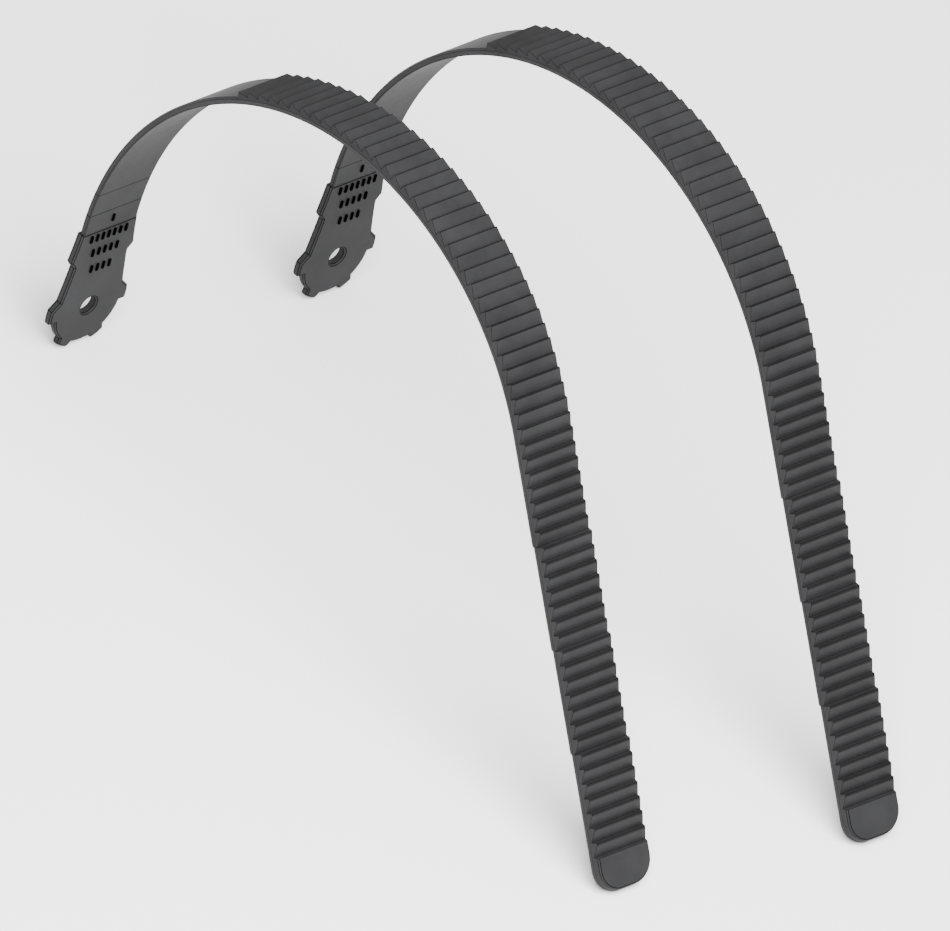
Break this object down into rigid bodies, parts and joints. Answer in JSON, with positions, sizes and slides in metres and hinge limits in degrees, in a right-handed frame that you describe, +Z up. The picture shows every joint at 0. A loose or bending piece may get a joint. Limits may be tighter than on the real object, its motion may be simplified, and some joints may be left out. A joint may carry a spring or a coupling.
{
  "type": "ladder strap pair",
  "caption": "Arched flexible binding straps with saw teeth along the outside, a rounded tip pad and a flat lugged head with a pivot hole; the straps stand side by side.",
  "frame": {"origin": "middle of the bounding box on the floor plane that the heads' lower lugs and the tips stand on", "axes": "+X from the heads to the tips, +Y across the straps from the near one to the far one, +Z up"},
  "size_m": [0.2654, 0.112, 0.1466],
  "materials": {
    "strap": "satin, finely grained, dark grey moulded elastomer"
  },
  "bodies": {
    "near_base": {"near_head": "strap", "near_shank": "strap"},
    "near_band": {"near_ladder": "strap", "near_run": "strap", "near_tip": "strap"},
    "far_base": {"far_head": "strap", "far_shank": "strap"},
    "far_band": {"far_ladder": "strap", "far_run": "strap", "far_tip": "strap"}
  },
  "joints": [
    {"name": "near_flex", "type": "hinge", "parent": "near_base", "child": "near_band", "pos_m": [-0.12426, -0.0413, 0.08567], "axis": [0, 1, 0], "range_deg": [-25, 30], "stiffness_Nm_per_rad": 0.1, "deforming": ["near_shank"]},
    {"name": "far_place", "type": "slide", "parent": "near_base", "child": "far_base", "axis": [0, 1, 0], "range_m": [-0.04, 0.12]},
    {"name": "far_flex", "type": "hinge", "parent": "far_base", "child": "far_band", "pos_m": [-0.10951, 0.0413, 0.08567], "axis": [0, 1, 0], "range_deg": [-25, 30], "stiffness_Nm_per_rad": 0.1, "deforming": ["far_shank"]}
  ]
}
